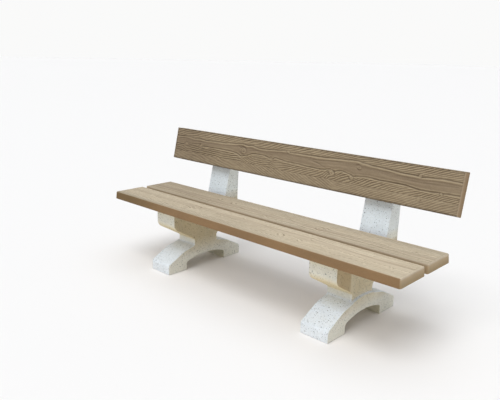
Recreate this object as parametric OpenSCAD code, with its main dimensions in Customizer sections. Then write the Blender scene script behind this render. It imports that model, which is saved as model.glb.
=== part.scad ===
// Garden bench in precast concrete: three wood-grained planks on two stone-coloured pedestals.
// Each pedestal is one casting: an arched foot, a neck, a bearer under the seat and an upright behind it.
// Millimetres. +Z is up, X runs along the bench, the sitter faces -Y.
// The origin is on the ground, at the centre of the bench's length and depth.

/* [Planks] */
// Length of every plank, over its larger face
plank_len = 2000; // [1500:10:2400]
// Width of every plank, over its larger face
plank_w = 210; // [190:1:216]
// Thickness of every plank
plank_t = 45; // [40:1:60]
// Mould draft: how much smaller the grained face is, on each side
plank_draft = 4; // [2:0.5:6]
// Radius on the long edges of a plank
plank_r = 4; // [2:0.5:8]

/* [Seat] */
// Height of the seat's underside above the ground
seat_z = 380; // [360:1:420]
// Open gap between the two seat planks
seat_gap = 22; // [15:1:26]
// Thickness of the mortar bed under each seat plank
bed_t = 4; // [3:0.5:8]
// How far each bed is set back from the edges of its bearer
bed_inset = 9; // [6:1:15]

/* [Backrest] */
// Lean of the backrest from the vertical, in degrees
back_tilt = 13; // [10:0.5:15]
// Distance from the seat's front edge to the backrest's lower rear edge
back_y = 512; // [505:1:520]
// Height of the backrest's lower rear edge
back_z = 576; // [560:1:600]

/* [Pedestals] */
// Distance from the bench's middle to the centre of each pedestal
ped_x = 575; // [400:5:700]
// Width of a pedestal along the bench
ped_w = 160; // [150:1:180]
// Depth of the recess in the pedestal's outer side
recess = 14; // [8:1:16]
// Overall depth of the arched foot
foot_len = 589; // [580:1:600]
// Length of each toe on the ground
toe_len = 142; // [130:1:160]
// Height of the arch under the foot, at its crown
arch_z = 77; // [60:1:85]
// Distance from the seat's front edge to the bearer's front face
bearer_y = 62; // [50:1:70]

/* [Fixings] */
// Diameter of the backrest bolts
bolt_d = 10; // [8:1:12]
// Diameter of the clearance holes through the uprights
hole_d = 12; // [12:0.5:14]
// Diameter of the recess for a bolt head
head_recess_d = 32; // [28:1:36]
// Concrete left between the bolt head's recess and the backrest
clamp_t = 40; // [35:1:42]
// Diameter of the dowels under the seat planks
dowel_d = 12; // [10:1:14]
// Depth of a dowel in the plank and in the bearer
dowel_in = 25; // [20:1:28]

/* [Reinforcement] */
// Diameter of the long bars in a plank
bar_d = 10; // [8:1:10]
// Diameter of the cross bars and ties
tie_d = 6; // [5:1:6]
// Diameter of the bars in a pedestal
ped_bar_d = 8; // [6:1:8]

/* [Hidden] */
$fn = 48;

stone_col = [0.83, 0.82, 0.77];
wood_col = [0.62, 0.52, 0.40];
mortar_col = [0.62, 0.62, 0.60];
zinc_col = [0.72, 0.73, 0.74];
bar_col = [0.42, 0.32, 0.26];

// Everything is drawn with y = 0 at the seat's front edge, then moved so that the origin is mid-depth.
depth = 605;
foot_y0 = depth - foot_len;
foot_y1 = depth;
mid_y = (foot_y0 + foot_y1) / 2;
bearer_z = seat_z - bed_t;
rear_y = plank_w + seat_gap;

// Neck of the pedestal
neck_w = 183;
neck_y0 = mid_y - neck_w / 2;
neck_y1 = mid_y + neck_w / 2;
neck_z0 = 141;
neck_z1 = 181;
haunch = 0.586;

// Arch under the foot
arch_y0 = foot_y0 + toe_len;
arch_y1 = foot_y1 - toe_len;
arch_side = 49;
arch_half = (arch_y1 - arch_y0) / 2;
arch_sag = arch_z - arch_side;
arch_r = (arch_half * arch_half + arch_sag * arch_sag) / (2 * arch_sag);

// Upright: a point at distance s up the backrest's rear face, and t behind it
st = sin(back_tilt);
ct = cos(back_tilt);
function up(s, t = 0) = [back_y + s * st + t * ct, back_z + s * ct - t * st];
upright_s = 184;
// The upright's rear face leans back a little
rear_lean = 0.038;
function rear_face(z) = 586 + (z - 380) * rear_lean;
top_t = (rear_face(up(upright_s)[1]) - up(upright_s)[0]) / (ct + st * rear_lean);
front_low_y = back_y - (back_z - bearer_z) * st / ct;
rear_low_z = neck_z1 + (rear_face(290) - neck_y1) * haunch;
front_low_z = neck_z1 + (neck_y0 - bearer_y) * haunch;

// Backrest bolts: distances up the backrest's rear face
bolt_s = [60, 140];
washer_t = 2.5;
head_t = 6.4;
head_af = 17;
washer_d = 28;
bolt_grip = clamp_t + washer_t;
bolt_len = 65;
socket_len = 30;
socket_d = 16;
fit = 0.05;

// Seat dowels, from the pedestal's centre and from the plank's front edge
dowel_x = 40;
dowel_y = plank_w / 2;

// A closed outline from [u, v, radius] corners, with each corner rounded by its radius
function unit(v) = v / norm(v);
function corner(a, b, c, r, n) =
    r <= 0 ? [b] :
    let (p = unit(a - b), q = unit(c - b),
         half = acos(max(-1, min(1, p * q))) / 2,
         d = r / tan(half),
         m = unit(p + q), o = b + m * (r / sin(half)),
         s = b + p * d, e = b + q * d,
         a0 = atan2(s[1] - o[1], s[0] - o[0]),
         a1 = atan2(e[1] - o[1], e[0] - o[0]),
         da = a1 - a0 > 180 ? a1 - a0 - 360 : (a1 - a0 < -180 ? a1 - a0 + 360 : a1 - a0))
    [for (i = [0:n]) o + r * [cos(a0 + da * i / n), sin(a0 + da * i / n)]];
function xy(p) = [p[0], p[1]];
function rounded(pts) =
    let (k = len(pts))
    [for (i = [0:k - 1])
        each corner(xy(pts[(i + k - 1) % k]), xy(pts[i]), xy(pts[(i + 1) % k]), pts[i][2],
                    pts[i][2] > 20 ? 8 : 5)];

// Points of the arch under the foot, from front to rear, between its two corners
arch_n = 16;
arch_pts = [for (i = [1:arch_n - 1])
    let (y = arch_y0 + (arch_y1 - arch_y0) * i / arch_n)
    [y, arch_z - arch_r + sqrt(arch_r * arch_r - (y - mid_y) * (y - mid_y)), 0]];

// Top of the foot where it passes the neck, as a shallow crown
crown_z = 152;
crown_n = 8;
crown_pts = [for (i = [0:crown_n])
    let (u = -1 + 2 * i / crown_n)
    [mid_y + u * neck_w / 2, neck_z0 + (crown_z - neck_z0) * (1 - u * u)]];

pedestal_outline = rounded(concat(
    [[foot_y0, 0, 3], [arch_y0, 0, 3], [arch_y0, arch_side, 15]],
    arch_pts,
    [[arch_y1, arch_side, 15], [arch_y1, 0, 3], [foot_y1, 0, 3], [foot_y1, 60, 26],
     [mid_y + 175.5, 121, 150], [neck_y1, neck_z0, 14], [neck_y1, neck_z1, 14],
     [rear_face(290), rear_low_z, 45],
     [up(upright_s, top_t)[0], up(upright_s, top_t)[1], 10],
     [up(upright_s)[0], up(upright_s)[1], 6],
     [front_low_y, bearer_z, 8], [bearer_y, bearer_z, 4], [bearer_y, front_low_z, 45],
     [neck_y0, neck_z1, 14], [neck_y0, neck_z0, 14], [mid_y - 175.5, 121, 150], [foot_y0, 60, 26]]));

// Recess in the outer side: from the foot's crown up to the seat, between the two arms
recess_y0 = 184;
recess_y1 = 2 * mid_y - recess_y0;
recess_outline = concat(crown_pts,
    [[recess_y1, neck_z0], [recess_y1, bearer_z + 10], [recess_y0, bearer_z + 10], [recess_y0, neck_z0]]);

// Runs a (y, z) outline along X, from x0 to x1
module along_x(x0, x1) {
    translate([x0, 0, 0]) rotate([90, 0, 90]) linear_extrude(height = x1 - x0) children();
}

// side = -1 for the left pedestal and 1 for the right one; the recess faces outwards
module pedestal_blank(side) {
    difference() {
        along_x(-ped_w / 2, ped_w / 2) polygon(pedestal_outline);
        if (side > 0) along_x(ped_w / 2 - recess, ped_w / 2 + 5) polygon(recess_outline);
        else along_x(-ped_w / 2 - 5, -ped_w / 2 + recess) polygon(recess_outline);
    }
}

// Places its children on the backrest's rear face, local Z pointing to the sitter and local Y up the slope
module on_back(x, s) {
    translate([x, up(s)[0], up(s)[1]]) rotate([90 - back_tilt, 0, 0]) children();
}

module pedestal(side) {
    translate([side * ped_x, -depth / 2, 0]) difference() {
        pedestal_blank(side);
        // sockets for the seat dowels
        for (y = [dowel_y, rear_y + dowel_y], x = [-dowel_x, dowel_x])
            translate([x, y, bearer_z - dowel_in]) cylinder(d = dowel_d + 2 * fit, h = dowel_in + 5);
        // bolt holes, each with a flat recess for the head in the rear face
        for (s = bolt_s) on_back(0, s) {
            translate([0, 0, -clamp_t - 5]) cylinder(d = hole_d, h = clamp_t + 10);
            translate([0, 0, -clamp_t - 60]) cylinder(d = head_recess_d, h = 60);
        }
        pedestal_bars(side);
    }
}

// Bar between two (y, z) points at a given x
module bar(x, a, b, d) {
    v = b - a;
    translate([x, a[0], a[1]]) rotate([atan2(v[1], v[0]) - 90, 0, 0]) cylinder(d = d, h = norm(v));
    for (p = [a, b]) translate([x, p[0], p[1]]) sphere(d = d + 1.2);
}

// Welded cage in a pedestal: two bent frames joined by ties
frame_x = [-54, 44];
module pedestal_bars(side) {
    foot = [[46, 38], [135, 94], [246, 112], [375, 112], [486, 94], [575, 38]];
    top = [[88, 328], [246, 328], [375, 328], [548, 328], [577, 726]];
    for (i = [0, 1]) {
        x = side * frame_x[i];
        for (k = [0:len(foot) - 2]) bar(x, foot[k], foot[k + 1], ped_bar_d);
        for (k = [0:len(top) - 2]) bar(x, top[k], top[k + 1], ped_bar_d);
        bar(x, foot[2], top[1], ped_bar_d);
        bar(x, foot[3], top[2], ped_bar_d);
    }
    x0 = side > 0 ? frame_x[0] : -frame_x[1];
    for (p = [top[0], top[1], top[2], top[3], foot[1], foot[2], foot[3], foot[4]])
        translate([x0, p[0], p[1]]) rotate([0, 90, 0]) cylinder(d = tie_d, h = frame_x[1] - frame_x[0]);
}

// A plank lying on its larger face, grained face up, its front edge along X at y = 0
module plank_blank() {
    w = plank_w; t = plank_t; d = plank_draft; r = plank_r; l = plank_len;
    intersection() {
        along_x(-l / 2, l / 2)
            polygon(rounded([[0, 0, 2], [w, 0, 2], [w - d, t, r], [d, t, r]]));
        translate([0, w + 5, 0]) rotate([90, 0, 0]) linear_extrude(height = w + 10)
            polygon(rounded([[-l / 2, 0, 2], [l / 2, 0, 2], [l / 2 - d, t, r], [-l / 2 + d, t, r]]));
    }
}

// Welded ladder of bars in a plank
bar_y = [35, 175];
bar_z = 20;
tie_x = [-900, -700, -460, -230, 0, 230, 460, 700, 900];
module plank_bars() {
    for (y = bar_y) translate([-plank_len / 2 + 40, y, bar_z]) rotate([0, 90, 0])
        cylinder(d = bar_d, h = plank_len - 80);
    for (x = tie_x) translate([x * plank_len / 2000, bar_y[0] - 12, bar_z + (bar_d + tie_d) / 2 - 1.5])
        rotate([-90, 0, 0]) cylinder(d = tie_d, h = bar_y[1] - bar_y[0] + 24);
}

module dowel_holes() {
    for (s = [-1, 1], x = [-dowel_x, dowel_x])
        translate([s * ped_x + x, dowel_y, -5]) cylinder(d = dowel_d + 2 * fit, h = dowel_in + 5);
}

module at_front_seat() { translate([0, -depth / 2, seat_z]) children(); }
module at_rear_seat() { translate([0, -depth / 2 + rear_y, seat_z]) children(); }
module at_backrest() { translate([0, -depth / 2 + back_y, back_z]) rotate([90 - back_tilt, 0, 0]) children(); }

module seat_plank() {
    difference() {
        plank_blank();
        dowel_holes();
        plank_bars();
    }
}

module left_pedestal() { color(stone_col) pedestal(-1); }
module right_pedestal() { color(stone_col) pedestal(1); }
module front_seat_plank() { color(wood_col) at_front_seat() seat_plank(); }
module rear_seat_plank() { color(wood_col) at_rear_seat() seat_plank(); }
module backrest_plank() {
    color(wood_col) at_backrest() difference() {
        plank_blank();
        for (side = [-1, 1], s = bolt_s) translate([side * ped_x, s, -5]) cylinder(d = socket_d, h = socket_len + 5);
        plank_bars();
    }
}

// Bed of mortar between a plank and a bearer, pierced by the dowels; y0 and y1 are its front and rear
module mortar_bed(side, y0, y1, dy) {
    w = ped_w - recess - 2 * bed_inset;
    x0 = side > 0 ? -ped_w / 2 + bed_inset : ped_w / 2 - bed_inset - w;
    color(mortar_col) translate([side * ped_x, -depth / 2, bearer_z]) difference() {
        translate([x0, y0, 0]) cube([w, y1 - y0, bed_t]);
        for (x = [-dowel_x, dowel_x]) translate([x, dy, -1]) cylinder(d = dowel_d + 2 * fit, h = bed_t + 2);
    }
}
front_bed = [bearer_y + bed_inset, plank_w - bed_inset];
rear_bed = [rear_y + bed_inset, rear_y + plank_w - bed_inset];
module left_front_mortar_bed() { mortar_bed(-1, front_bed[0], front_bed[1], dowel_y); }
module left_rear_mortar_bed() { mortar_bed(-1, rear_bed[0], rear_bed[1], rear_y + dowel_y); }
module right_front_mortar_bed() { mortar_bed(1, front_bed[0], front_bed[1], dowel_y); }
module right_rear_mortar_bed() { mortar_bed(1, rear_bed[0], rear_bed[1], rear_y + dowel_y); }

module seat_dowels() {
    color(zinc_col) for (s = [-1, 1], x = [-dowel_x, dowel_x], y = [dowel_y, rear_y + dowel_y])
        translate([s * ped_x + x, y - depth / 2, bearer_z - dowel_in]) cylinder(d = dowel_d, h = 2 * dowel_in + bed_t);
}

// Threaded sleeves cast into the backrest, flush with its rear face
module backrest_sockets() {
    color(zinc_col) translate([0, -depth / 2, 0]) for (side = [-1, 1], s = bolt_s) on_back(side * ped_x, s)
        difference() {
            cylinder(d = socket_d, h = socket_len);
            translate([0, 0, -1]) cylinder(d = bolt_d + 2 * fit, h = socket_len - 3);
        }
}

// Hexagon-head bolts, entered from behind
module backrest_bolts() {
    color(zinc_col) translate([0, -depth / 2, 0]) for (side = [-1, 1], s = bolt_s) on_back(side * ped_x, s)
        union() {
            translate([0, 0, -bolt_grip - head_t]) cylinder(d = head_af / cos(30), h = head_t, $fn = 6);
            translate([0, 0, -bolt_grip - 1]) cylinder(d = bolt_d, h = bolt_len + 1);
        }
}

module backrest_washers() {
    color(zinc_col) translate([0, -depth / 2, 0]) for (side = [-1, 1], s = bolt_s) on_back(side * ped_x, s)
        translate([0, 0, -bolt_grip]) difference() {
            cylinder(d = washer_d, h = washer_t);
            translate([0, 0, -1]) cylinder(d = bolt_d + 1, h = washer_t + 2);
        }
}

module front_plank_rebar() { color(bar_col) at_front_seat() plank_bars(); }
module rear_plank_rebar() { color(bar_col) at_rear_seat() plank_bars(); }
module backrest_rebar() { color(bar_col) at_backrest() plank_bars(); }
module left_pedestal_rebar() { color(bar_col) translate([-ped_x, -depth / 2, 0]) pedestal_bars(-1); }
module right_pedestal_rebar() { color(bar_col) translate([ped_x, -depth / 2, 0]) pedestal_bars(1); }

left_pedestal();
right_pedestal();
front_seat_plank();
rear_seat_plank();
backrest_plank();
left_front_mortar_bed();
left_rear_mortar_bed();
right_front_mortar_bed();
right_rear_mortar_bed();
seat_dowels();
backrest_sockets();
backrest_bolts();
backrest_washers();
front_plank_rebar();
rear_plank_rebar();
backrest_rebar();
left_pedestal_rebar();
right_pedestal_rebar();
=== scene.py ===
"""Looks of the precast concrete garden bench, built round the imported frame. Millimetres in the shape code, metres in the scene."""

import math

import bpy
import numpy as np
from mathutils import Matrix, Vector, geometry


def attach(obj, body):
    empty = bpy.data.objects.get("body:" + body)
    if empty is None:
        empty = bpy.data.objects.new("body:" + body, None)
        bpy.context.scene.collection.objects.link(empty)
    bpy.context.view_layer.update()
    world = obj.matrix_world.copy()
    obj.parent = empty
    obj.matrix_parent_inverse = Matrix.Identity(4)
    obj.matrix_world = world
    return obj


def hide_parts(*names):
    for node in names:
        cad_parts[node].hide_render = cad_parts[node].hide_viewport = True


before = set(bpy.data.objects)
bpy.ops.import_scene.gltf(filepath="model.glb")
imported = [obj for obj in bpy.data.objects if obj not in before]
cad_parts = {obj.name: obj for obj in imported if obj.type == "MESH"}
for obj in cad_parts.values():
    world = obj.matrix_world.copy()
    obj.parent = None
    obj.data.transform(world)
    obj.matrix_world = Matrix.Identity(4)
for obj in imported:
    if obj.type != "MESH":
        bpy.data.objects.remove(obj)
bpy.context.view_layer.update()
DEPTH = 605.0  # the shape code puts y = 0 at the seat's front edge; the row frame's y = 0 is mid-depth
MM = 0.001


# ---------------------------------------------------------------- small maths
def step(a, lo, hi):
    t = np.clip((np.asarray(a, float) - lo) / (hi - lo), 0.0, 1.0)
    return t * t * (3 - 2 * t)


def _hash(i, j, k, seed):
    n = (i * 374761393 + j * 668265263 + k * 974634777 + seed * 362437) & 0xFFFFFFFF
    n = ((n ^ (n >> 13)) * 1274126177) & 0xFFFFFFFF
    n = ((n ^ (n >> 15)) * 2246822519) & 0xFFFFFFFF
    return ((n ^ (n >> 16)) & 0xFFFF) / 32767.5 - 1.0


def noise3(x, y, z, seed):
    """Smooth value noise from -1 to 1, the same on every run."""
    x, y, z = (np.asarray(v, float) for v in np.broadcast_arrays(x, y, z))
    i, j, k = (np.floor(v).astype(np.int64) for v in (x, y, z))
    f, g, h = x - i, y - j, z - k
    f, g, h = (v * v * v * (v * (v * 6 - 15) + 10) for v in (f, g, h))
    out = np.zeros_like(x)
    for a in (0, 1):
        for b in (0, 1):
            for c in (0, 1):
                out += (
                    _hash(i + a, j + b, k + c, seed)
                    * (f if a else 1 - f)
                    * (g if b else 1 - g)
                    * (h if c else 1 - h)
                )
    return out


def noise2(x, y, seed):
    return noise3(x, y, 0.37 + 0.0 * np.asarray(x, float), seed)


def fbm2(x, y, seed, octaves=3):
    total, size, norm = 0.0, 1.0, 0.0
    for o in range(octaves):
        total = total + size * noise2(x * 2**o, y * 2**o, seed + 17 * o)
        norm += size
        size *= 0.5
    return total / norm


# ---------------------------------------------------------------- meshes
def mesh_from(name, verts, quads, tris):
    me = bpy.data.meshes.new(name)
    quads = np.asarray(quads, np.int64).reshape(-1, 4)
    tris = np.asarray(tris, np.int64).reshape(-1, 3)
    loops = np.concatenate([quads.ravel(), tris.ravel()]).astype(np.int32)
    starts = np.concatenate(
        [np.arange(len(quads)) * 4, 4 * len(quads) + np.arange(len(tris)) * 3]
    ).astype(np.int32)
    me.vertices.add(len(verts))
    me.vertices.foreach_set("co", np.asarray(verts, np.float32).ravel())
    me.loops.add(len(loops))
    me.loops.foreach_set("vertex_index", loops)
    me.polygons.add(len(starts))
    me.polygons.foreach_set("loop_start", starts)
    me.update(calc_edges=True)
    me.validate()
    me.polygons.foreach_set("use_smooth", np.ones(len(me.polygons), bool))
    me.update()
    return me


def piece(name, me, material, nodes=()):
    ob = bpy.data.objects.new(name, me)
    bpy.context.scene.collection.objects.link(ob)
    me.materials.append(material)
    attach(ob, "root")
    if nodes:
        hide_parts(*nodes)
    return ob


def point_attribute(me, name, values):
    a = me.attributes.new(name, "FLOAT", "POINT")
    a.data.foreach_set("value", np.asarray(values, np.float32))


def inside(poly, pts):
    x, y = pts[:, 0], pts[:, 1]
    res = np.zeros(len(pts), bool)
    a, b = poly, np.roll(poly, -1, 0)
    for p, q in zip(a, b):
        hit = (p[1] > y) != (q[1] > y)
        if hit.any() and p[1] != q[1]:
            cut = (q[0] - p[0]) * (y - p[1]) / (q[1] - p[1]) + p[0]
            res ^= hit & (x < cut)
    return res


def gap_to(poly, pts, closed=True):
    """Distance from each point to a polyline."""
    a = poly if closed else poly[:-1]
    b = np.roll(poly, -1, 0) if closed else poly[1:]
    best = np.full(len(pts), 1e9)
    for p, q in zip(a, b):
        d = q - p
        t = np.clip(((pts - p) @ d) / max(float(d @ d), 1e-9), 0, 1)
        best = np.minimum(best, np.linalg.norm(pts - p - t[:, None] * d, axis=1))
    return best


def filled(loop, extra):
    """Triangles over a closed loop of points with more points inside it: indices into loop + extra."""
    pts = np.concatenate([loop, extra]) if len(extra) else loop
    out = geometry.delaunay_2d_cdt(
        [Vector(p) for p in pts],
        [],
        [list(range(len(loop)))],
        1,
        1e-6,
    )
    src = [o[0] if o else -1 for o in out[3]]
    tri = [[src[i] for i in f] for f in out[2] if len(f) == 3]
    return np.array([t for t in tri if min(t) >= 0], np.int64)


def lattice(loop, pitch, keep):
    lo, hi = loop.min(0), loop.max(0)
    rows = np.arange(lo[1] + 0.4 * pitch, hi[1], pitch * 0.87)
    pts = []
    for r, y in enumerate(rows):
        xs = np.arange(lo[0] + (0.25 if r % 2 else 0.75) * pitch, hi[0], pitch)
        pts += [(x, y) for x in xs]
    pts = np.array(pts, float)
    pts += 0.18 * pitch * np.stack(
        [noise2(pts[:, 0] * 0.37, pts[:, 1] * 0.41, 5), noise2(pts[:, 0] * 0.43, pts[:, 1] * 0.39, 9)], 1
    )
    pts = pts[inside(loop, pts)]
    return pts[gap_to(loop, pts) > keep]


# ---------------------------------------------------------------- the planks' wood grain
# All three planks come from one mould. u runs along the plank from -1000 to 1000, v across it from 0 to 210.
# Edges of the smooth heartwood band that runs the length of the plank: (u, v), from the photo, to the nearest
# millimetre.
BAND_TOP = [(-1020, 154), (-940, 157), (-890, 161), (-850, 157), (-815, 152), (-760, 156), (-700, 152), (-600, 155), (-520, 157),
            (-460, 162), (-400, 166), (-340, 168), (-300, 169), (-265, 161), (-230, 158), (-180, 160), (-130, 165), (-60, 170),
            (20, 166), (120, 166), (200, 167), (260, 170), (330, 175), (430, 179), (475, 173), (520, 168), (580, 166), (620, 163),
            (670, 158), (730, 156), (790, 153), (830, 156), (890, 160), (940, 160), (1020, 155)]
BAND_LOW = [(-1020, 108), (-960, 104), (-920, 104), (-885, 115), (-840, 119), (-760, 119), (-725, 112), (-640, 113), (-520, 114),
            (-455, 112), (-420, 104), (-390, 93), (-368, 90), (-345, 106), (-320, 114), (-282, 124), (-240, 123), (-190, 122),
            (-160, 113), (-140, 101), (-118, 121), (-78, 115), (-30, 111), (60, 109), (130, 104), (200, 103), (262, 104),
            (290, 110), (315, 115), (350, 115), (378, 110), (402, 101), (416, 98), (432, 101), (475, 103), (530, 106), (580, 102),
            (640, 102), (720, 102), (765, 96), (800, 92), (860, 93), (930, 95), (1020, 99)]
# Knots: (u, v, radius, how proud, twist of the grain round it in radians)
KNOTS = [(-366, 127, 24, 1.5, 0.5), (290, 95, 17, 1.5, 0.8), (414, 89, 12, 1.3, 0.6), (450, 146, 13, 1.2, 0.4), (788, 155, 8, 1.4, 0.3),
         (906, 89, 7, 1.3, 0.3), (-140, 107, 11, 1.2, 0.5), (-20, 165, 9, 1.2, 0.3), (-745, 116, 9, 1.1, 0.4), (-888, 112, 11, 1.0, 0.4),
         (800, 46, 9, 0.7, 0.2)]
PITS = [(141, 154, 3.2, 2.2), (282, 92, 3.0, 1.2), (-368, 124, 3.4, 1.4), (446, 140, 3.0, 1.5), (410, 84, 2.6, 1.2)]
# Lesser lines inside the band, where the grain parts round the knots, and how deep they are
PARTINGS = [([(110, 143), (170, 138), (215, 127), (262, 108)], 1.5), ([(110, 143), (200, 149), (300, 158), (400, 166)], 1.0),
            ([(-445, 158), (-405, 146), (-385, 128), (-350, 112)], 1.0), ([(-350, 150), (-318, 138), (-285, 138), (-215, 147)], 1.0),
            ([(-960, 140), (-880, 150), (-820, 141), (-700, 136)], 0.8), ([(560, 138), (680, 128), (800, 126), (1000, 133)], 0.7)]
# The diagonal strokes on both sides of the band: (u, spacing along u, run per unit of rise)
STROKES_TOP = [(-1000, 60, 3.3), (-500, 56, 3.1), (-250, 50, 2.8), (0, 46, 2.7), (150, 43, 2.7), (450, 33, 2.3), (750, 31, 2.4), (1000, 29, 2.5)]
STROKES_LOW = [(-1000, 51, 3.7), (-700, 47, 3.5), (-450, 42, 3.0), (-250, 38, 2.8), (-50, 35, 2.5), (150, 32, 2.0), (350, 28, 1.6), (550, 28, 1.9), (1000, 24, 1.8)]


def _line(points):
    u = np.arange(-1040, 1041, 2.0)
    v = np.interp(u, [p[0] for p in points], [p[1] for p in points])
    k = np.exp(-0.5 * (np.arange(-20, 21) * 2 / 9.0) ** 2)
    v = np.convolve(np.pad(v, 20, mode="edge"), k / k.sum(), mode="valid")
    return lambda x: np.interp(x, u, v)


band_top, band_low = _line(BAND_TOP), _line(BAND_LOW)
partings = [(_line(points), points[0][0], points[-1][0], deep) for points, deep in PARTINGS]


def _count(table):
    """How many strokes lie to the left of u, and the strokes' run per unit of rise at u."""
    u = np.arange(-1300, 1301, 4.0)
    spacing = np.interp(u, [t[0] for t in table], [t[1] for t in table])
    turns = np.concatenate([[0], np.cumsum(4.0 / (0.5 * (spacing[1:] + spacing[:-1])))])
    return lambda x: np.interp(x, u, turns), lambda x: np.interp(x, [t[0] for t in table], [t[2] for t in table])


turns_top, run_top = _count(STROKES_TOP)
turns_low, run_low = _count(STROKES_LOW)


def grain(u, v, wear=0.0):
    """Height of the grained face above the flat, in millimetres, at most about 0, and how smooth it is there from 0 to 1."""
    u, v = np.asarray(u, float), np.asarray(v, float)
    u0, v0 = u, v
    # the grain turns a little round each knot
    for ku, kv, r, _, twist in KNOTS:
        du, dv = u - ku, v - kv
        near = np.exp(-(du * du + dv * dv) / (1.7 * r) ** 2)
        a = twist * near
        u, v = u + (np.cos(a) - 1) * du - np.sin(a) * dv, v + np.sin(a) * du + (np.cos(a) - 1) * dv
    wob = 1.6 * noise2(u / 70, v / 24, 3) + 0.7 * noise2(u / 22, v / 12, 4)
    top, low = band_top(u) + wob, band_low(u) + wob
    above, below = v - top, low - v
    across = np.minimum(-above, -below)  # depth inside the band, negative outside it
    # diagonal strokes: they leave the band almost along it and steepen within a short way
    sway = 0.22 * noise2(u / 160, v / 90, 6)
    bend = 26 * (1 - np.exp(-np.maximum(above, 0) / 9.0))
    up_phase = turns_top(u - (run_top(u) + sway) * above - bend)
    seam = 57 + 2.0 * noise2(u / 140, 0 * u, 8)
    bend_low = 22 * (1 - np.exp(-np.maximum(below, 0) / 9.0))
    down_phase = turns_low(u + (run_low(u) + sway) * below + bend_low)
    drift = 0.24 * noise2(u / 75, v / 34, 11) + 0.09 * noise2(u / 26, v / 15, 12)

    def strokes(phase, second):
        main = 0.5 + 0.5 * np.cos(2 * math.pi * (phase + drift))
        return main**1.1 + second * (0.5 + 0.5 * np.cos(4 * math.pi * (phase + drift) + 0.8))

    power_up = step(above, 1.5, 8.0) * (0.85 + 0.35 * noise2(u / 90, v / 40, 13))
    power_down = step(below, 1.5, 8.0) * (0.90 + 0.35 * noise2(u / 90, v / 40, 14)) * (1 - step(seam - v, -3, 4))
    h = -3.1 * strokes(up_phase + 0.2, 0.16) * power_up - (3.1 + 0.8 * step(-u, 150, 350)) * strokes(down_phase, 0.12) * power_down
    # below the seam they are finer and fainter: turned back on the left of a point past the middle, straight on to the right of it
    past = seam - v
    turned = step(-u, -360, -300)
    faint = step(past, -4, 3) * (0.72 + 0.28 * step(u, -420, -250)) * (0.9 + 0.4 * noise2(u / 80, v / 30, 16))
    far = step(-u, 370, 460)
    h -= faint * turned * (1 - far) * (0.5 + 1.9 * strokes((u - 2.5 * past) / 33.0 + 0.4, 0.2))
    h -= faint * far * (0.5 + 2.3 * strokes((u - 4.4 * past) / 78.0 + 0.2, 0.3))
    h -= faint * (1 - turned) * (0.5 + 1.9 * strokes((u + 1.9 * past) / 26.0, 0.2))
    # the two long grooves beside the band, each with a rounded lip on its lower side
    firm = 0.8 + 0.3 * noise2(u / 120, 0 * u, 15)
    h -= 4.6 * firm * np.exp(-((above / 3.5) ** 2)) + 4.6 * firm * np.exp(-((below / 3.5) ** 2))
    h += 1.3 * np.exp(-(((above + 8.0) / 3.8) ** 2)) + 1.7 * np.exp(-(((below - 7.5) / 3.6) ** 2))
    h -= 0.9 * firm * np.exp(-(((above + 16.0) / 3.6) ** 2)) * step(across, 6, 12)
    h -= 0.7 * firm * np.exp(-(((below + 9.0) / 3.6) ** 2)) * step(across, 4, 10)
    # a shallow line low on the plank, where the strokes turn
    h -= 0.5 * np.exp(-(((v - seam) / 2.0) ** 2))
    # inside the band: long soft streaks that part round the knots
    soft = step(across, 2, 16)
    mid = 0.5 * (top + low)
    run = (v - mid) / np.maximum(top - low, 20) * 60
    h += soft * (0.75 * noise2(u / 210 + 3, run / 9, 21) + 0.42 * noise2(u / 95, run / 4.6, 22) + 0.22 * noise2(u / 40, run / 2.6, 23))
    h -= 0.55 * soft
    for line, start, end, deep in partings:
        shown = deep * step(u, start, start + 45) * step(-u, -end, 35 - end) * step(across, 1, 6)
        off = v - line(u) - 0.6 * wob
        h += shown * (0.45 * np.exp(-(((off + 6.5) / 3.4) ** 2)) - np.exp(-((off / 3.0) ** 2)))
    # fine fibres everywhere
    h += 0.12 * noise2(u / 30, v / 4.6, 24) + 0.07 * noise2(u / 9, v / 4.6, 25)
    # knots: a raised eye with rings, and a rim where the grain parts
    for ku, kv, r, proud, _ in KNOTS:
        du, dv = u0 - ku, v0 - kv + 0.25 * (u0 - ku)
        swirl = 0.9 * np.arctan2(dv, du)
        d = np.hypot(du / 1.35, dv) * (1 + 0.16 * noise2(u0 / 12, v0 / 10, 31))
        eye = step(-d, -1.1 * r, -0.7 * r)
        rim = np.exp(-(((d - 0.9 * r) / (0.16 * r + 1.5)) ** 2)) * (0.55 + 0.45 * np.sin(swirl * 2 + ku))
        h = h * (1 - 0.75 * eye) - 2.0 * proud * rim
        h += proud * eye * (0.3 + 0.9 * np.cos(2 * math.pi * d / (0.42 * r + 3.0) - swirl))
    for ku, kv, r, deep in PITS:
        h -= deep * np.exp(-((np.hypot((u0 - ku) / 1.5, v0 - kv) / r) ** 2))
    h -= 0.9  # so that its highest ridges stay about level with the plank's face
    h = np.minimum(h, 0.25 + 0.3 * h)
    return h * (1 - 0.35 * wear), soft


PLANK_L, PLANK_W, PLANK_T, DRAFT = 2000.0, 210.0, 45.0, 4.0


def rim_profile(r, rim):
    """(inset, height) from the underside's edge up to the start of the grained face, with an edge of radius r."""
    pts = [(2.6, 0.0), (1.2, 0.25), (0.4, 1.0), (0.2, 2.4)]
    for z in (8.0, 15.0, 22.0, 29.0, 35.0):
        pts.append((DRAFT * z / PLANK_T, z))
    cx, cz = DRAFT * (PLANK_T - r) / PLANK_T + r, PLANK_T - r
    for a in (8, 22, 37, 52, 66, 79):
        pts.append((cx - r * math.cos(math.radians(a)), cz + r * math.sin(math.radians(a))))
    pts.append((rim, PLANK_T))
    return pts


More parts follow.
